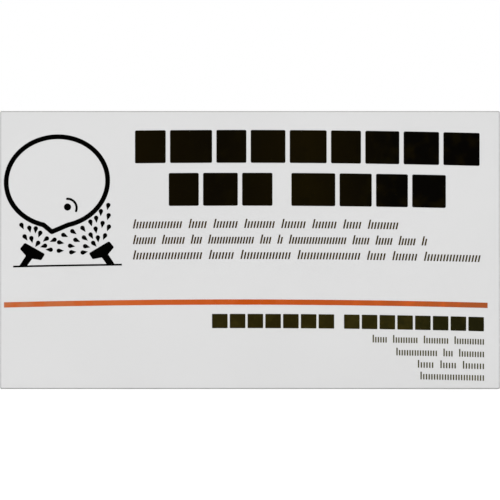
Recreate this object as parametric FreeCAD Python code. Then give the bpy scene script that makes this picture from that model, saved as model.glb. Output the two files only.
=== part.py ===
"""Wall sign for an emergency eyewash point: a printed film on a rigid panel, hung on foam tape.

Frame: the origin is the middle of the side that sticks to the wall, in the middle of the sign.
+X runs along the sign's width to the reader's right, +Z is up, and the print faces -Y.
The sign is a stack of layers along -Y: tape, panel, film and ink. All sizes are millimetres.
"""
import FreeCAD, Part
import math
import os

# ---- the stack of layers, from the wall outwards ----
TAPE_ADHESIVE = 0.05
TAPE_FOAM = 0.9
PANEL_THICKNESS = 1.5
FILM_ADHESIVE = 0.025
FILM_THICKNESS = 0.1
INK_THICKNESS = 0.03

# ---- the sign's outline ----
SIGN_WIDTH = 137.0
SIGN_HEIGHT = 76.2
PANEL_CORNER = 0.4
PANEL_EDGE_CHAMFER = 0.1
FILM_INSET = 0.3
FILM_CORNER = 0.25
ADHESIVE_INSET = 0.15

# ---- the foam tape on the back ----
TAPE_WIDTH = 19.0
TAPE_LENGTH = 64.0
TAPE_PITCH = 48.0
TAPE_NAMES = ("left", "middle", "right")

# ---- the print isn't quite level: all its lines bow upwards, most at BOW_CENTRE_X ----
BOW_RISE = 0.85
BOW_CENTRE_X = -3.5
BOW_REACH = 66.0

# ---- the heading: one plain block for each character, rows centred over each other ----
# From here on, heights are those of a level print, and the bow's rise is added when a piece is drawn.
# Each row is given as its middle height and, word by word, its blocks' widths.
HEADING_CENTRE_X = 15.7
HEADING_HEIGHT = 9.0
HEADING_GAP = 1.2
HEADING_WORD_GAP = 5.2
HEADING_CORNER = 0.4
HEADING_ROWS = (
    (27.55, ((8.4, 11.5, 8.2, 9.5, 10.1, 8.2, 9.3, 9.7, 9.9),)),
    (15.8, ((8.2, 9.5, 8.3), (12.0, 8.8, 8.7, 9.2))),
)

# ---- the notice: each word is a run of leaning strokes, two to a character ----
# Each line is given as the height that it stands on, its width, and the characters in each word.
NOTICE_LEFT = -32.1
NOTICE_SLANT = 12.0
NOTICE_LOW_HEIGHT = 1.85
NOTICE_TALL_HEIGHT = 2.5
NOTICE_STROKE = 0.43
NOTICE_LINES = (
    (5.2, 72.4, (8, 3, 4, 5, 4, 4, 3, 5)),
    (0.9, 80.3, (4, 4, 2, 8, 2, 1, 10, 3, 3, 3, 1)),
    (-3.3, 94.9, (11, 4, 8, 10, 3, 4, 9)),
)

# ---- the coloured rule across the sign ----
RULE_LEFT = -67.4
RULE_RIGHT = 65.1
RULE_HEIGHT = 1.45
RULE_CENTRE_Z = -15.1

# ---- the maker's name line and contact lines, which end at one right margin ----
# The contact lines are given as the notice's are, and their strokes stand upright.
RIGHT_MARGIN = 64.1
NAME_LEFT = -10.4
NAME_CENTRE_Z = -20.3
NAME_HEIGHT = 3.9
NAME_GAP = 0.6
NAME_WORD_GAP = 2.7
NAME_CORNER = 0.2
NAME_BLOCKS = (7, 8)
CONTACT_LOW_HEIGHT = 1.5
CONTACT_TALL_HEIGHT = 2.1
CONTACT_STROKE = 0.36
CONTACT_LINES = (
    (-25.9, 30.5, (3, 5, 5, 6)),
    (-29.35, 24.0, (8, 2, 5)),
    (-32.6, 18.1, (3, 3, 4)),
    (-35.8, 17.4, (12,)),
)

# ---- the symbol: a head bowed over two spray nozzles ----
HEAD_CENTRE = (-52.9, 18.4)
HEAD_HALF_WIDTH = 13.9
HEAD_HALF_HEIGHT = 12.25
OUTLINE_STROKE = 1.3
NOSE_BRIDGE_X = -56.6
NOSE_TIP = (-54.3, 4.65)
NOSE_ROOT_X = -49.8
NOSE_RUN_IN = 1.3
EYE_CENTRE = (-50.0, 11.35)
EYE_RADIUS = 0.98
EYELID_CENTRE = (-50.0, 11.1)
EYELID_RADIUS = 2.5
EYELID_STROKE = 0.62
EYELID_START = -20.0
EYELID_END = 92.0
BASIN_LEFT = -64.9
BASIN_RIGHT = -35.1
BASIN_TOP_Z = -4.42
BASIN_STROKE = 0.48
LEFT_NOZZLE_X = -62.05
RIGHT_NOZZLE_X = -38.25
NOZZLE_OUTLINE = (
    (1.05, 0.0),
    (2.35, 1.8),
    (4.85, 1.35),
    (5.9, 3.0),
    (0.35, 6.25),
    (-1.0, 4.55),
    (0.65, 2.65),
    (-1.1, 0.0),
)
NOZZLE_CORNERS = (0.0, 0.25, 0.4, 0.4, 0.55, 0.4, 0.25, 0.0)

# ---- the spray: drops on rays from each nozzle, as (degrees from +X, distances) ----
DROP_RADIUS = 0.6
DROP_TAIL = 1.42
LEFT_SPRAY_FROM = (-59.3, -0.1)
LEFT_SPRAY = (
    (124, (4.4,)),
    (116, (7.6,)),
    (101, (3.2, 6.1)),
    (84, (5.8,)),
    (68, (4.9,)),
    (55, (2.2,)),
    (39, (4.7,)),
    (24, (6.3,)),
    (17, (3.3,)),
    (358, (4.7,)),
)
RIGHT_SPRAY_FROM = (-41.4, -0.4)
RIGHT_SPRAY = (
    (66, (4.2, 6.8)),
    (74, (9.7,)),
    (78, (12.4,)),
    (82, (7.3,)),
    (87, (10.5,)),
    (95, (3.3, 8.7)),
    (99, (5.8,)),
    (107, (8.0,)),
    (119, (4.7,)),
    (127, (7.5,)),
    (131, (2.4,)),
    (141, (5.3,)),
    (145, (8.9,)),
    (157, (7.0, 10.6)),
    (166, (3.9,)),
    (169, (11.1,)),
    (172, (8.0,)),
    (181, (11.0,)),
    (185, (7.6,)),
    (190, (4.5,)),
)

# ---- where each layer's front lies ----
TAPE_FRONT_Y = -(TAPE_FOAM + 2 * TAPE_ADHESIVE)
PANEL_FRONT_Y = TAPE_FRONT_Y - PANEL_THICKNESS
FILM_BACK_Y = PANEL_FRONT_Y - FILM_ADHESIVE
FILM_FRONT_Y = FILM_BACK_Y - FILM_THICKNESS
SAME_PLACE = 1e-6


def at(place, y=FILM_FRONT_Y):
    """A point from its place (x, z) on the sign and its depth y."""
    return FreeCAD.Vector(place[0], y, place[1])


def bowed(place):
    """A place on the level print, lifted by the bow: a parabola that is back at nothing at its reach."""
    share = (place[0] - BOW_CENTRE_X) / BOW_REACH
    return (place[0], place[1] + BOW_RISE * (1 - share * share))


def bow_slope(x):
    """How steeply the bow climbs towards +X at x."""
    return -2 * BOW_RISE * (x - BOW_CENTRE_X) / BOW_REACH ** 2


def raised(wires, thickness=INK_THICKNESS):
    """Fill each closed wire and pull it forwards by the thickness."""
    layers = []
    for wire in wires:
        layers.append(Part.Face(wire).extrude(FreeCAD.Vector(0, -thickness, 0)))
    return layers[0] if len(layers) == 1 else Part.makeCompound(layers)


def polar(centre, radius, degrees):
    """The point on the film at a distance and a direction, counted from +X towards +Z, from a centre."""
    angle = math.radians(degrees)
    return at((centre[0] + radius * math.cos(angle), centre[1] + radius * math.sin(angle)))


def rounded_wire(corners, radii, y=FILM_FRONT_Y):
    """A closed outline through the corners, with an arc of its own radius at each."""
    points = [at(corner, y) for corner in corners]
    count = len(points)
    starts, middles, ends = [], [], []
    for i in range(count):
        back = (points[i - 1] - points[i]).normalize()
        ahead = (points[(i + 1) % count] - points[i]).normalize()
        inwards = (back + ahead).normalize()
        half = back.getAngle(ahead) / 2
        cut = radii[i] / math.tan(half)
        starts.append(points[i] + back * cut)
        middles.append(points[i] + inwards * (radii[i] / math.sin(half) - radii[i]))
        ends.append(points[i] + ahead * cut)
    edges = []
    for i in range(count):
        edges.append(Part.makeLine(ends[i - 1], starts[i]))
        if radii[i] > 0:
            edges.append(Part.Arc(starts[i], middles[i], ends[i]).toShape())
    return Part.Wire(edges)


def sheet_outline(inset, radius, y):
    """The sign's rectangle, drawn in from its edge by the inset, with equal round corners."""
    half_width = SIGN_WIDTH / 2 - inset
    half_height = SIGN_HEIGHT / 2 - inset
    corners = (
        (-half_width, -half_height),
        (half_width, -half_height),
        (half_width, half_height),
        (-half_width, half_height),
    )
    return rounded_wire(corners, (radius,) * 4, y)


def save(shape, name):
    """Write one piece, or one group of like pieces, under its own name."""
    shape.exportStep(f"parts/{name}.step")


# ---- the body of the sign ----
def panel():
    """The rigid sheet, with the saw's sharp edge taken off all round the front."""
    sheet = raised([sheet_outline(0, PANEL_CORNER, TAPE_FRONT_Y)], PANEL_THICKNESS)
    front_edges = []
    for edge in sheet.Edges:
        if all(abs(vertex.Point.y - PANEL_FRONT_Y) < SAME_PLACE for vertex in edge.Vertexes):
            front_edges.append(edge)
    return sheet.makeChamfer(PANEL_EDGE_CHAMFER, front_edges)


def film_layer(inset, back_y, thickness):
    """A sheet of the film's size, drawn in from the panel's edge by the inset."""
    return raised([sheet_outline(inset, FILM_CORNER, back_y)], thickness)


def tape_layer(centre_x, wall_y, thickness):
    """One layer of a strip of tape, from its side nearest the wall."""
    corner = FreeCAD.Vector(centre_x - TAPE_WIDTH / 2, wall_y - thickness, -TAPE_LENGTH / 2)
    return Part.makeBox(TAPE_WIDTH, thickness, TAPE_LENGTH, corner)


# ---- the print ----
def block(x_low, x_high, z_low, z_high, radius):
    """An upright block with equal round corners, its corners moved along the bow."""
    corners = ((x_low, z_low), (x_high, z_low), (x_high, z_high), (x_low, z_high))
    return rounded_wire([bowed(corner) for corner in corners], (radius,) * 4)


def bow_edge(x_start, x_end, z):
    """An edge along the bow. A parabola is a curve with three poles: its ends and where they aim."""
    start = bowed((x_start, z))
    end = bowed((x_end, z))
    half_run = (x_end - x_start) / 2
    aim = (x_start + half_run, start[1] + bow_slope(x_start) * half_run)
    curve = Part.BezierCurve()
    curve.setPoles([at(start), at(aim), at(end)])
    return curve.toShape()


def band(x_low, x_high, z_low, z_high):
    """A long line of ink with square ends, its two long edges along the bow."""
    lower = bow_edge(x_low, x_high, z_low)
    upper = bow_edge(x_high, x_low, z_high)
    right_end = Part.makeLine(at(bowed((x_high, z_low))), at(bowed((x_high, z_high))))
    left_end = Part.makeLine(at(bowed((x_low, z_high))), at(bowed((x_low, z_low))))
    return raised([Part.Wire([lower, right_end, upper, left_end])])


def heading_row(centre_z, words):
    """Plain round-cornered blocks in words, centred as a row."""
    blocks = sum(len(word) for word in words)
    ink = sum(sum(word) for word in words)
    gaps = HEADING_GAP * (blocks - len(words)) + HEADING_WORD_GAP * (len(words) - 1)
    x = HEADING_CENTRE_X - (ink + gaps) / 2
    low = centre_z - HEADING_HEIGHT / 2
    wires = []
    for word in words:
        for width in word:
            wires.append(block(x, x + width, low, low + HEADING_HEIGHT, HEADING_CORNER))
            x += width + HEADING_GAP
        x += HEADING_WORD_GAP - HEADING_GAP
    return raised(wires)


def stroke(x, low_z, height, width, slant):
    """One upright or leaning stroke, standing on the line at x."""
    lean = height * math.tan(math.radians(slant))
    high_z = low_z + height
    corners = ((x, low_z), (x + width, low_z), (x + width + lean, high_z), (x + lean, high_z))
    points = [at(bowed(corner)) for corner in corners]
    return Part.makePolygon(points + points[:1])


def stroke_line(left, low_z, width, words, heights, stroke_width, slant):
    """A line of small print: two strokes stand for a character, the first of a word taller."""
    characters = sum(words) + len(words) - 1
    pitch = (width - stroke_width) / (2 * characters - 1)
    x = left
    wires = []
    for word in words:
        for i in range(2 * word):
            height = heights[1] if i == 0 else heights[0]
            wires.append(stroke(x + i * pitch, low_z, height, stroke_width, slant))
        x += 2 * pitch * (word + 1)
    return raised(wires)


def divider_rule():
    low = RULE_CENTRE_Z - RULE_HEIGHT / 2
    return band(RULE_LEFT, RULE_RIGHT, low, low + RULE_HEIGHT)


def name_line():
    """Two words of equal plain blocks, from the line's left end to the right margin."""
    blocks = sum(NAME_BLOCKS)
    gaps = NAME_GAP * (blocks - len(NAME_BLOCKS)) + NAME_WORD_GAP * (len(NAME_BLOCKS) - 1)
    width = (RIGHT_MARGIN - NAME_LEFT - gaps) / blocks
    low = NAME_CENTRE_Z - NAME_HEIGHT / 2
    x = NAME_LEFT
    wires = []
    for count in NAME_BLOCKS:
        for _ in range(count):
            wires.append(block(x, x + width, low, low + NAME_HEIGHT, NAME_CORNER))
            x += width + NAME_GAP
        x += NAME_WORD_GAP - NAME_GAP
    return raised(wires)


# ---- the symbol ----
def ellipse_face(grow):
    """The head's oval, grown by half a stroke outwards or inwards."""
    centre = at(HEAD_CENTRE)
    across = centre + FreeCAD.Vector(HEAD_HALF_WIDTH + grow, 0, 0)
    up = centre + FreeCAD.Vector(0, 0, HEAD_HALF_HEIGHT + grow)
    return Part.Face(Part.Wire(Part.Ellipse(across, up, centre).toShape()))


def on_head(x):
    """The point of the head's oval at x, on its lower side."""
    share = (x - HEAD_CENTRE[0]) / HEAD_HALF_WIDTH
    return (x, HEAD_CENTRE[1] - HEAD_HALF_HEIGHT * math.sqrt(1 - share * share))


def extended(tip, end, extra):
    """The end moved further away from the tip by the extra length."""
    run = math.hypot(end[0] - tip[0], end[1] - tip[1])
    scale = 1 + extra / run
    return (tip[0] + (end[0] - tip[0]) * scale, tip[1] + (end[1] - tip[1]) * scale)


def nose_face(grow):
    """A kite from the middle of the head down to the nose's tip, grown by half a stroke."""
    bridge = extended(NOSE_TIP, on_head(NOSE_BRIDGE_X), NOSE_RUN_IN)
    root = extended(NOSE_TIP, on_head(NOSE_ROOT_X), NOSE_RUN_IN)
    corners = [at(corner) for corner in (bridge, NOSE_TIP, root, HEAD_CENTRE)]
    kite = Part.Face(Part.makePolygon(corners + corners[:1]))
    return Part.Face(kite.makeOffset2D(grow).OuterWire)


def head_face(grow):
    """Oval and nose as one face, sheared so that it leans with the bow at the head's middle."""
    level = ellipse_face(grow).fuse(nose_face(grow)).removeSplitter().Faces[0].OuterWire
    middle = HEAD_CENTRE[0]
    slope = bow_slope(middle)
    lift = bowed(HEAD_CENTRE)[1] - HEAD_CENTRE[1] - slope * middle
    shear = FreeCAD.Matrix(1, 0, 0, 0, 0, 1, 0, 0, slope, 0, 1, lift, 0, 0, 0, 1)
    return Part.Face(level.transformGeometry(shear))


def head_outline():
    """The head in profile as one even stroke, its nose pointing down."""
    half = OUTLINE_STROKE / 2
    stroke_face = head_face(half).cut(head_face(-half))
    return stroke_face.extrude(FreeCAD.Vector(0, -INK_THICKNESS, 0)).Solids[0]


def eye_dot():
    circle = Part.Circle(at(bowed(EYE_CENTRE)), FreeCAD.Vector(0, -1, 0), EYE_RADIUS)
    return raised([Part.Wire(circle.toShape())])


def eyelid_arc():
    """A bent stroke round the eye with round ends."""
    centre = bowed(EYELID_CENTRE)
    half = EYELID_STROKE / 2
    inner = EYELID_RADIUS - half
    outer = EYELID_RADIUS + half
    middle = (EYELID_START + EYELID_END) / 2
    cap_turn = math.degrees(half / EYELID_RADIUS)
    outer_start, outer_end = polar(centre, outer, EYELID_START), polar(centre, outer, EYELID_END)
    inner_start, inner_end = polar(centre, inner, EYELID_START), polar(centre, inner, EYELID_END)
    arcs = (
        Part.Arc(outer_start, polar(centre, outer, middle), outer_end),
        Part.Arc(outer_end, polar(centre, EYELID_RADIUS, EYELID_END + cap_turn), inner_end),
        Part.Arc(inner_end, polar(centre, inner, middle), inner_start),
        Part.Arc(inner_start, polar(centre, EYELID_RADIUS, EYELID_START - cap_turn), outer_start),
    )
    return raised([Part.Wire([arc.toShape() for arc in arcs])])


def nozzle(foot_x, side):
    """A spray head on its stem, leaning towards +X for side 1 and towards -X for side -1."""
    corners = [bowed((foot_x + side * x, BASIN_TOP_Z + z)) for x, z in NOZZLE_OUTLINE]
    return raised([rounded_wire(corners, NOZZLE_CORNERS)])


def basin_line():
    return band(BASIN_LEFT, BASIN_RIGHT, BASIN_TOP_Z - BASIN_STROKE, BASIN_TOP_Z)


def drop(centre, tail_degrees):
    """A round drop with two straight flanks that meet in a tail."""
    spread = math.degrees(math.acos(DROP_RADIUS / DROP_TAIL))
    tip = polar(centre, DROP_TAIL, tail_degrees)
    first = polar(centre, DROP_RADIUS, tail_degrees + spread)
    back = polar(centre, DROP_RADIUS, tail_degrees + 180)
    second = polar(centre, DROP_RADIUS, tail_degrees - spread)
    rounded = Part.Arc(first, back, second).toShape()
    return Part.Wire([Part.makeLine(tip, first), rounded, Part.makeLine(second, tip)])


def spray(source, rays):
    """All drops of one nozzle, each with its tail towards the nozzle."""
    wires = []
    for degrees, distances in rays:
        angle = math.radians(degrees)
        for distance in distances:
            centre = (source[0] + distance * math.cos(angle), source[1] + distance * math.sin(angle))
            wires.append(drop(bowed(centre), degrees + 180))
    return raised(wires)


def main():
    os.makedirs("parts", exist_ok=True)
    save(panel(), "panel")
    save(film_layer(FILM_INSET + ADHESIVE_INSET, PANEL_FRONT_Y, FILM_ADHESIVE), "film_adhesive")
    save(film_layer(FILM_INSET, FILM_BACK_Y, FILM_THICKNESS), "face_film")
    for i, side in enumerate(TAPE_NAMES):
        centre_x = (i - 1) * TAPE_PITCH
        save(tape_layer(centre_x, 0, TAPE_ADHESIVE), f"{side}_tape_wall_adhesive")
        save(tape_layer(centre_x, -TAPE_ADHESIVE, TAPE_FOAM), f"{side}_tape_foam")
        save(tape_layer(centre_x, -TAPE_ADHESIVE - TAPE_FOAM, TAPE_ADHESIVE), f"{side}_tape_panel_adhesive")
    for i, (centre_z, words) in enumerate(HEADING_ROWS):
        save(heading_row(centre_z, words), f"heading_row_{i + 1}")
    for i, (low_z, width, words) in enumerate(NOTICE_LINES):
        heights = (NOTICE_LOW_HEIGHT, NOTICE_TALL_HEIGHT)
        line = stroke_line(NOTICE_LEFT, low_z, width, words, heights, NOTICE_STROKE, NOTICE_SLANT)
        save(line, f"notice_line_{i + 1}")
    save(divider_rule(), "divider_rule")
    save(name_line(), "name_line")
    for i, (low_z, width, words) in enumerate(CONTACT_LINES):
        heights = (CONTACT_LOW_HEIGHT, CONTACT_TALL_HEIGHT)
        line = stroke_line(RIGHT_MARGIN - width, low_z, width, words, heights, CONTACT_STROKE, 0)
        save(line, f"contact_line_{i + 1}")
    save(head_outline(), "head_outline")
    save(eye_dot(), "eye_dot")
    save(eyelid_arc(), "eyelid_arc")
    save(nozzle(LEFT_NOZZLE_X, 1), "left_nozzle")
    save(nozzle(RIGHT_NOZZLE_X, -1), "right_nozzle")
    save(basin_line(), "basin_line")
    save(spray(LEFT_SPRAY_FROM, LEFT_SPRAY), "left_spray_drops")
    save(spray(RIGHT_SPRAY_FROM, RIGHT_SPRAY), "right_spray_drops")


main()
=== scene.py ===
import math

import bpy
import numpy as np
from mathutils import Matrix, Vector


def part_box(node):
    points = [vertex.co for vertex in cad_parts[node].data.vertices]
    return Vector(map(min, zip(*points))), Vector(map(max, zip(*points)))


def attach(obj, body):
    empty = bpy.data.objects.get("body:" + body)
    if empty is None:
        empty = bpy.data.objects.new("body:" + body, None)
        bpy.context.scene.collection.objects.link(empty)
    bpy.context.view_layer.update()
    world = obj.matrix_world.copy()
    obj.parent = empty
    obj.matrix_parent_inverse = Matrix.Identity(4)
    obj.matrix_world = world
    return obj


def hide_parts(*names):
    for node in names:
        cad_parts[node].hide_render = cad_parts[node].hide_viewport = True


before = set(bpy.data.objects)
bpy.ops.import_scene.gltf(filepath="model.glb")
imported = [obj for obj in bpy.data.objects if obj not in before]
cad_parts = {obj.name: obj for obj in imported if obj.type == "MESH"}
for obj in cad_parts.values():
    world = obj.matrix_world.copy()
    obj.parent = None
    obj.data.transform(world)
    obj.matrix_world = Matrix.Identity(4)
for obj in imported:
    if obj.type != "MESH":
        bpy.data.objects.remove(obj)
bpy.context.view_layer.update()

# ---- Camera ----
# The sign is looked at squarely, from straight in front of its middle. The lens is long, and it
# stands as near as lets the sign's width fill the frame.


def put_in_scene(name, data):
    """A new object in the scene, made from its lens, light or mesh."""
    item = bpy.data.objects.new(name, data)
    bpy.context.scene.collection.objects.link(item)
    return item


lens = bpy.data.cameras.new("camera")
lens.lens = 100.0
lens.sensor_width = 36.0
lens.clip_start = 0.01
lens.clip_end = 100.0
camera = put_in_scene("camera", lens)
bpy.context.scene.camera = camera
panel_low, panel_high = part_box("panel")
panel_middle = (panel_low + panel_high) / 2
stand_off = (panel_high.x - panel_low.x) * lens.lens / lens.sensor_width
camera.location = (panel_middle.x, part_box("face_film")[0].y - stand_off, panel_middle.z)
camera.rotation_euler = (math.radians(90), 0, 0)

# ---- Studio ----
# A sweep of white paper under soft light: a key from the right, a fill from the left and a lamp behind.
# The air above the paper is bright white to the lens, and dimmer as light on the sign.
# Each lamp gives its name, its degrees round to the right and up, its strength and its width in degrees.
LAMPS = (
    ("key", 38, 48, 1.5, 50),
    ("fill", -50, 42, 0.8, 80),
    ("lamp_behind", 205, 72, 0.8, 80),
)
AIR_AS_SEEN = 1.0
AIR_AS_LIGHT = 0.45
PAPER_HALF = 30.0
PAPER_WHITE = 0.93


def lead(material, value, socket):
    """Lead another node's output into a socket, or set the socket to a plain number or colour."""
    if isinstance(value, bpy.types.NodeSocket):
        material.node_tree.links.new(value, socket)
    else:
        socket.default_value = value


def add(material, kind, settings=(), **inputs):
    """Put a node in a material, or in the air, with its settings and what goes into its sockets."""
    node = material.node_tree.nodes.new(kind)
    for key, value in settings:
        setattr(node, key, value)
    for key, value in inputs.items():
        lead(material, value, node.inputs[key.replace("_", " ")])
    return node


def finish(name):
    """A new material, which is still only its one shader."""
    material = bpy.data.materials.new(name)
    material.use_nodes = True
    return material


def feed(material, shader="Principled BSDF", **inputs):
    """Lead patterns into the sockets of a material's shader, or set them to plain numbers or colours."""
    node = material.node_tree.nodes[shader]
    for key, value in inputs.items():
        lead(material, value, node.inputs[key.replace("_", " ")])


for name, round_degrees, up_degrees, strength, width_degrees in LAMPS:
    glow = bpy.data.lights.new(name, "SUN")
    glow.energy = strength
    glow.angle = math.radians(width_degrees)
    lamp = put_in_scene(name, glow)
    across, up = math.radians(round_degrees), math.radians(up_degrees)
    towards = Vector((math.sin(across) * math.cos(up), -math.cos(across) * math.cos(up), math.sin(up)))
    lamp.rotation_euler = towards.to_track_quat("Z", "Y").to_euler()

air = bpy.data.worlds.new("studio_air")
bpy.context.scene.world = air
air.use_nodes = True
to_lens = add(air, "ShaderNodeLightPath").outputs["Is Camera Ray"]
brightness = add(air, "ShaderNodeMapRange", Value=to_lens, To_Min=AIR_AS_LIGHT, To_Max=AIR_AS_SEEN)
feed(air, "Background", Color=(1.0, 1.0, 1.0, 1.0), Strength=brightness.outputs["Result"])

paper_mesh = bpy.data.meshes.new("floor")
unit_corners = ((-1, -1), (1, -1), (1, 1), (-1, 1))
paper_corners = [(PAPER_HALF * x, PAPER_HALF * y, panel_low.z) for x, y in unit_corners]
paper_mesh.from_pydata(paper_corners, [], [(0, 1, 2, 3)])
paper = finish("sweep_paper")
feed(paper, Base_Color=(PAPER_WHITE, PAPER_WHITE, PAPER_WHITE, 1.0), Roughness=0.9, Specular_IOR_Level=0.1)
paper_mesh.materials.append(paper)
floor = put_in_scene("floor", paper_mesh)
bpy.context.scene.view_settings.view_transform = "Standard"

# ---- Panel ----
# A rigid plastic sheet, 1.5 mm thick, sawn to size and eased round its front edge.
# Its faces keep faint lines from the lips of the extruder, and its cut edges finer marks of the saw.
PANEL_GREY = (170, 170, 169)
CLOUD_GREY = (175, 175, 174)
LINE_GREY = (160, 160, 159)
SAWN_GREY = (164, 164, 162)
SAWN_PALE = (174, 174, 172)
CLOUDS_PER_METRE = 90
LINES_PER_METRE = 12
LINE_PACKING = (1, 1, 40)
LINE_DEPTH = 0.00002
SAW_MARKS_PER_METRE = 60
SAW_MARK_PACKING = (70, 2, 70)
SAW_MARK_DEPTH = 0.00004
FACE_SKIN = 0.00002
SHEET_ROUGHNESS = (0.42, 0.58)


def tone(red, green, blue):
    """A colour in the usual 0 to 255 steps, as the share of light that it sends back."""
    steps = np.array((red, green, blue)) / 255
    light = np.where(steps <= 0.04045, steps / 12.92, ((steps + 0.055) / 1.055) ** 2.4)
    return (*light.tolist(), 1.0)


def place_on(material):
    """The place on the piece, in metres in the sign's own frame."""
    return add(material, "ShaderNodeTexCoord").outputs["Object"]


def place_along(material, axis):
    """The place on the piece along X, Y or Z alone."""
    return add(material, "ShaderNodeSeparateXYZ", Vector=place_on(material)).outputs[axis]


def noise(material, per_metre, packing=(1, 1, 1), detail=3.0):
    """Soft random patches, so many to the metre, packed closer along each axis by its own factor."""
    place = add(material, "ShaderNodeMapping", Vector=place_on(material), Scale=packing).outputs["Vector"]
    return add(material, "ShaderNodeTexNoise", Vector=place, Scale=per_metre, Detail=detail).outputs["Fac"]


def run(material, value, low, high, to_low=0.0, to_high=1.0, easing="SMOOTHSTEP"):
    """The value's stretch from low to high, laid onto the stretch from to_low to to_high."""
    ends = {"From_Min": low, "From_Max": high, "To_Min": to_low, "To_Max": to_high}
    settings = [("interpolation_type", easing)]
    return add(material, "ShaderNodeMapRange", settings, Value=value, **ends).outputs["Result"]


def between(material, share, first, second, kind="RGBA"):
    """The colour, or for kind VECTOR the direction, that lies between two others at a share."""
    node = add(material, "ShaderNodeMix", [("data_type", kind)])
    live = {socket.name: socket for socket in node.inputs if socket.enabled}
    for name, value in (("Factor", share), ("A", first), ("B", second)):
        lead(material, value, live[name])
    return next(socket for socket in node.outputs if socket.enabled)


def shade(material, pattern, first, second, low=0.3, high=0.7):
    """The first tone where the pattern is low, the second where it is high, and a run between them."""
    return between(material, run(material, pattern, low, high), tone(*first), tone(*second))


def relief(material, height, depth, under=None):
    """Bumps of the given depth in metres, laid over any relief under them."""
    node = add(material, "ShaderNodeBump", Height=height, Distance=depth)
    if under is not None:
        lead(material, under, node.inputs["Normal"])
    return node.outputs["Normal"]


def dress(name, material):
    """Give a CAD piece its material, in place of the plain one it came with."""
    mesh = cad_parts[name].data
    mesh.materials.clear()
    mesh.materials.append(material)


def panel_sheet():
    """The depth in Y tells the two extruded faces, with their lines, from the sawn edges between them."""
    material = finish("panel_sheet")
    depth = place_along(material, "Y")
    at_front = run(material, depth, panel_low.y, panel_low.y + FACE_SKIN, 1.0, 0.0)
    on_face = run(material, depth, panel_high.y - FACE_SKIN, panel_high.y, at_front, 1.0)
    lines = noise(material, LINES_PER_METRE, LINE_PACKING, detail=5.0)
    saw_marks = noise(material, SAW_MARKS_PER_METRE, SAW_MARK_PACKING)
    clouds = noise(material, CLOUDS_PER_METRE)
    cloudy = shade(material, clouds, PANEL_GREY, CLOUD_GREY)
    face_grey = between(material, run(material, lines, 0.45, 0.7, to_high=0.7), cloudy, tone(*LINE_GREY))
    edge_grey = shade(material, saw_marks, SAWN_GREY, SAWN_PALE)
    face_relief = relief(material, lines, LINE_DEPTH)
    edge_relief = relief(material, saw_marks, SAW_MARK_DEPTH)
    feed(
        material,
        Base_Color=between(material, on_face, edge_grey, face_grey),
        Roughness=run(material, clouds, 0.2, 0.8, *SHEET_ROUGHNESS),
        Specular_IOR_Level=0.4,
        Normal=between(material, on_face, edge_relief, face_relief, "VECTOR"),
    )
    return material


dress("panel", panel_sheet())

# ---- Face film and its adhesive ----
# The printed face is a thin calendered plastic film, light grey and satin, with a faint orange peel.
# It is laid on a clear adhesive that stops a little short of its edge.
FILM_GREY = (206, 206, 206)
FILM_PALE = (207, 207, 207)
CAST_PER_METRE = 35
PEEL_PER_METRE = 1300
PEEL_DEPTH = 0.000004
FILM_ROUGHNESS = (0.36, 0.44)
ADHESIVE_DEEP = (203, 201, 192)
ADHESIVE_PALE = (214, 212, 205)
FLOW_PER_METRE = 500
FLOW_DEPTH = 0.00002


def satin_film():
    """The film's grey and gloss vary with one slow cast, and its relief is a fine even peel."""
    material = finish("satin_film")
    peel = noise(material, PEEL_PER_METRE, detail=1.0)
    cast = noise(material, CAST_PER_METRE, detail=2.0)
    feed(
        material,
        Base_Color=shade(material, cast, FILM_GREY, FILM_PALE, low=0.35, high=0.65),
        Roughness=run(material, cast, 0.3, 0.7, *FILM_ROUGHNESS),
        Specular_IOR_Level=0.35,
        Normal=relief(material, peel, PEEL_DEPTH),
    )
    return material


def clear_adhesive():
    """One pattern of flow, which is paler where it stands higher."""
    material = finish("clear_adhesive")
    flow = noise(material, FLOW_PER_METRE)
    feed(
        material,
        Base_Color=between(material, flow, tone(*ADHESIVE_DEEP), tone(*ADHESIVE_PALE)),
        Roughness=0.2,
        Specular_IOR_Level=0.5,
        Normal=relief(material, flow, FLOW_DEPTH),
    )
    return material


dress("face_film", satin_film())
dress("film_adhesive", clear_adhesive())

# ---- Heading ----
# Two rows of heavy screen print. The ink is a brown-black that isn't even: browner at the left and at the
# middle, and black at the right.
HEADING_BLACKS = ((16, 11, 1), (9, 6, 1), (18, 13, 1), (4, 3, 1), (3, 2, 1))
HEADING_PATCH = (14, 10, 1)
PATCHES_PER_METRE = 260
THREAD_PITCH = 0.00014
THREAD_DEPTH = 0.000002
INK_ROUGHNESS = (0.45, 0.6)


def bands(material, place, direction, pitch):
    """Even bands, a pitch apart: a sine whose angle grows by 20 times the node's scale in a metre."""
    settings = [("wave_type", "BANDS"), ("bands_direction", direction)]
    scale = 2 * math.pi / (20 * pitch)
    return add(material, "ShaderNodeTexWave", settings, Vector=place, Scale=scale).outputs["Fac"]


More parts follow.
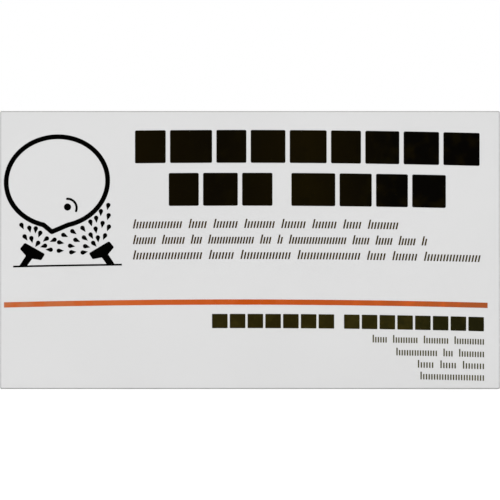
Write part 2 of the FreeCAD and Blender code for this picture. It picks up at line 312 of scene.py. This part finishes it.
def ink(name, tones, patch_tone, pieces, gloss):
    """Screen ink: it runs through its tones, spaced evenly from the left end of its pieces of print
    to the right, in soft patches, and its skin keeps the marks of the mesh's threads both ways."""
    material = finish(name)
    boxes = [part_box(piece) for piece in pieces]
    left = min(low.x for low, high in boxes)
    right = max(high.x for low, high in boxes)
    along = run(material, place_along(material, "X"), left, right, easing="LINEAR")
    ramp = add(material, "ShaderNodeValToRGB", Fac=along)
    stops = ramp.color_ramp.elements
    stops[0].color = tone(*tones[0])
    stops[1].color = tone(*tones[-1])
    for i, colour in enumerate(tones[1:-1], 1):
        stops.new(i / (len(tones) - 1)).color = tone(*colour)
    patches = noise(material, PATCHES_PER_METRE, detail=4.0)
    skin = None
    for direction in ("X", "Z"):
        threads = bands(material, place_on(material), direction, THREAD_PITCH)
        skin = relief(material, threads, THREAD_DEPTH, skin)
    patchiness = run(material, patches, 0.45, 0.75)
    feed(
        material,
        Base_Color=between(material, patchiness, ramp.outputs["Color"], tone(*patch_tone)),
        Roughness=run(material, patches, 0.3, 0.7, *INK_ROUGHNESS),
        Specular_IOR_Level=gloss,
        Normal=skin,
    )
    for piece in pieces:
        dress(piece, material)


ink("heading_ink", HEADING_BLACKS, HEADING_PATCH, ["heading_row_1", "heading_row_2"], gloss=0.01)

# ---- Notice ----
# Three lines of small leaning strokes, two to a character, printed in the heading's brown-black ink.
# Lines so thin take less of it, and look browner and a little paler.
NOTICE_BROWNS = ((50, 34, 2), (50, 38, 4), (54, 47, 18))
NOTICE_PATCH = (62, 45, 4)
notice_pieces = [f"notice_line_{i}" for i in (1, 2, 3)]
ink("notice_ink", NOTICE_BROWNS, NOTICE_PATCH, notice_pieces, gloss=0.015)

# ---- Divider rule ----
# One band of orange-red screen ink right across the sign. It is paler at the left end, where the
# squeegee started, and duller towards the right.
RULE_REDS = ((177, 102, 64), (186, 88, 36), (177, 72, 6), (172, 76, 24), (152, 76, 36))
RULE_PATCH = (184, 82, 28)
ink("rule_ink", RULE_REDS, RULE_PATCH, ["divider_rule"], gloss=0.1)

# ---- Name line and contact lines ----
# Heavy blocks printed in a dark olive ink, and under them four lines of thin strokes in the same ink,
# which come out greyer.
NAME_OLIVES = ((37, 32, 7), (34, 28, 4), (38, 33, 7), (30, 28, 6), (26, 24, 6))
NAME_PATCH = (46, 40, 10)
ink("name_ink", NAME_OLIVES, NAME_PATCH, ["name_line"], gloss=0.02)
CONTACT_GREYS = ((66, 62, 30), (62, 59, 28))
CONTACT_PATCH = (76, 71, 34)
contact_pieces = [f"contact_line_{i}" for i in (1, 2, 3, 4)]
ink("contact_ink", CONTACT_GREYS, CONTACT_PATCH, contact_pieces, gloss=0.015)

# ---- Symbol ----
# A head bowed over two spray nozzles that stand on a line, with drops rising from both.
# It is printed in full black, in the flattest ink on the sign.
SYMBOL_BLACKS = ((1, 1, 1), (2, 2, 1))
SYMBOL_PATCH = (4, 4, 3)
symbol_pieces = ["head_outline", "eye_dot", "eyelid_arc", "left_nozzle", "right_nozzle"]
symbol_pieces += ["basin_line", "left_spray_drops", "right_spray_drops"]
ink("symbol_ink", SYMBOL_BLACKS, SYMBOL_PATCH, symbol_pieces, gloss=0.005)

# ---- Foam tape ----
# Three strips of white closed-cell foam, slit from a wide roll. The knife opens the cells along the
# sides and leaves them slightly hollow, and the skins on the two faces stay flat.
STRIPS = ("left", "middle", "right")
CORNER_RADIUS = 0.0003
OUTLINE_STEP = 0.00012
SIDE_STEPS = 9
FACE_RINGS = (0.6, 0.96)
PULL_IN = 0.00006
CELL_SPACING = 0.00034
SMALLEST_CELL = 0.00008
LARGEST_CELL = 0.0002
CELL_SHOWN = 0.8
CELLS_AT_ONCE = 64
# The grey at the middle of each pore is painted shade in its hollow; the walls take the foam's white.
FOAM_PAINTED_SHADE = (222, 221, 216)
FOAM_WHITE = (243, 243, 240)
PORES_PER_METRE = 3800
PORE_DEPTH = 0.00003
FOAM_ROUGHNESS = (0.75, 0.95)


def outline(low, high, count):
    """Points round a rectangle with round corners, the way out at each, and how far round it lies.
    The rectangle is drawn in by the corner's radius, a point walks round that smaller rectangle and
    stops to turn a quarter at each corner, and the outline lies one radius out from the point."""
    inner_low, inner_high = low + CORNER_RADIUS, high - CORNER_RADIUS
    width, height = inner_high - inner_low
    quarter = CORNER_RADIUS * math.pi / 2
    stops = np.cumsum([0, width, quarter, height, quarter, width, quarter, height, quarter])
    walked = np.arange(count) / count * stops[-1]
    share = [np.clip((walked - start) / (end - start), 0, 1) for start, end in zip(stops[:-1], stops[1:])]
    x = inner_low[0] + width * (share[0] - share[4])
    z = inner_low[1] + height * (share[2] - share[6])
    turn = -math.pi / 2 + math.pi / 2 * (share[1] + share[3] + share[5] + share[7])
    way = np.stack([np.cos(turn), np.sin(turn)], axis=1)
    return np.stack([x, z], axis=1) + CORNER_RADIUS * way, way, walked


def open_cells(walked, depth, length, thickness, seed):
    """How far each point of the slit side lies inside a cell. Cells are balls with their middles on
    the knife's plane, and a point sinks by the ball's depth there: the root of radius squared less
    distance squared, for the deepest ball that reaches it. A gap is taken the short way round."""
    rng = np.random.default_rng(seed)
    count = int(length * thickness / CELL_SPACING ** 2)
    along = rng.uniform(0, length, count)
    across = rng.uniform(0, thickness, count)
    radius = rng.uniform(SMALLEST_CELL, LARGEST_CELL, count)
    sunk = np.zeros(walked.shape)
    for start in range(0, count, CELLS_AT_ONCE):
        part = slice(start, start + CELLS_AT_ONCE)
        gap = walked[..., None] - along[part]
        gap -= length * np.round(gap / length)
        room = radius[part] ** 2 - gap ** 2 - (depth[..., None] - across[part]) ** 2
        sunk = np.maximum(sunk, np.sqrt(np.clip(room, 0, None)).max(axis=-1))
    return sunk


def flat_ring(edge, middle, share, y):
    """The outline, shrunk towards the strip's middle to a share of its size, on the plane at y."""
    ring = middle + (edge - middle) * share
    return np.stack([ring[:, 0], np.full(len(ring), y), ring[:, 1]], axis=1)


def foam_strip(name, core, seed):
    """A closed strip of rings. They run from the middle of the panel's side out to its edge, across the
    slit side, and in to the middle of the wall's side. Across the slit side they are the outline, moved
    in by half a sine through the thickness, and by the cells times the root of that half sine."""
    low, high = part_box(core)
    thickness = high.y - low.y
    count = int(2 * (high.x - low.x + high.z - low.z) / OUTLINE_STEP)
    edge, way, walked = outline(np.array((low.x, low.z)), np.array((high.x, high.z)), count)
    middle = np.array(((low.x + high.x) / 2, (low.z + high.z) / 2))
    through = np.linspace(0, 1, SIDE_STEPS)[:, None]
    depth = np.repeat(through * thickness, count, axis=1)
    around = np.repeat(walked[None, :], SIDE_STEPS, axis=0)
    cells = open_cells(around, depth, walked[-1] + OUTLINE_STEP, thickness, seed)
    hollow = np.sin(math.pi * through)
    inset = PULL_IN * hollow + CELL_SHOWN * cells * np.sqrt(hollow)
    side = edge[None] - inset[..., None] * way[None]
    rings = [flat_ring(edge, middle, share, low.y) for share in FACE_RINGS]
    rings += list(np.stack([side[..., 0], low.y + depth, side[..., 1]], axis=-1))
    rings += [flat_ring(edge, middle, share, high.y) for share in reversed(FACE_RINGS)]
    poles = np.array([(middle[0], low.y, middle[1]), (middle[0], high.y, middle[1])])
    points = np.concatenate(rings + [poles])
    here = np.arange(count)
    ahead = np.roll(here, -1)
    starts = count * np.arange(len(rings) - 1)[:, None]
    quads = np.stack([starts + here, starts + count + here, starts + count + ahead, starts + ahead], axis=-1)
    last = count * (len(rings) - 1)
    pole = np.full(count, last + count)
    panel_cap = np.stack([pole, here, ahead], axis=1)
    wall_cap = np.stack([pole + 1, last + ahead, last + here], axis=1)
    mesh = bpy.data.meshes.new(name)
    faces = quads.reshape(-1, 4).tolist() + panel_cap.tolist() + wall_cap.tolist()
    mesh.from_pydata(points.tolist(), [], faces)
    return put_in_scene(name, mesh)


def white_foam():
    """Fine pores, each low at its middle, where its grey is painted shade, and white, dull and high at its
    wall.
    """
    material = finish("white_foam")
    pore = add(material, "ShaderNodeTexVoronoi", Vector=place_on(material), Scale=PORES_PER_METRE)
    from_middle = pore.outputs["Distance"]
    feed(
        material,
        Base_Color=shade(material, from_middle, FOAM_PAINTED_SHADE, FOAM_WHITE, low=0.0, high=0.6),
        Roughness=run(material, from_middle, 0.0, 0.6, *FOAM_ROUGHNESS),
        Specular_IOR_Level=0.25,
        Normal=relief(material, from_middle, PORE_DEPTH),
    )
    return material


foam = white_foam()
for seed, side in enumerate(STRIPS, 1):
    strip = foam_strip(f"{side}_foam_strip", f"{side}_tape_foam", seed)
    strip.data.materials.append(foam)
    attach(strip, "root")
    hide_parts(f"{side}_tape_foam")

# ---- Tape adhesive ----
# Each strip has a thin skin of clear, slightly yellow acrylic adhesive on both faces. The waxed liner
# was pulled off it, so it shines and keeps the liner's fine cross-hatch and a few ripples.
ACRYLIC_DEEP = (228, 226, 214)
ACRYLIC_PALE = (233, 231, 221)
RIPPLES_PER_METRE = 90
RIPPLE_PACKING = (1, 1, 3)
RIPPLE_DEPTH = 0.000015
LINER_PITCH = 0.0006
LINER_DEPTH = 0.000006
ACRYLIC_ROUGHNESS = (0.28, 0.42)


def tacky_skin():
    """Slow ripples, paler and duller where they stand higher, under two sets of bands that cross."""
    material = finish("tacky_skin")
    ripples = noise(material, RIPPLES_PER_METRE, RIPPLE_PACKING, detail=1.5)
    skin = relief(material, ripples, RIPPLE_DEPTH)
    for degrees in (45, -45):
        turn = (0, math.radians(degrees), 0)
        turned = add(material, "ShaderNodeMapping", Vector=place_on(material), Rotation=turn)
        hatch = bands(material, turned.outputs["Vector"], "X", LINER_PITCH)
        skin = relief(material, hatch, LINER_DEPTH, skin)
    feed(
        material,
        Base_Color=shade(material, ripples, ACRYLIC_DEEP, ACRYLIC_PALE),
        Roughness=run(material, ripples, 0.3, 0.7, *ACRYLIC_ROUGHNESS),
        Specular_IOR_Level=0.6,
        Normal=skin,
    )
    return material


tape_skin = tacky_skin()
for side in STRIPS:
    dress(f"{side}_tape_wall_adhesive", tape_skin)
    dress(f"{side}_tape_panel_adhesive", tape_skin)
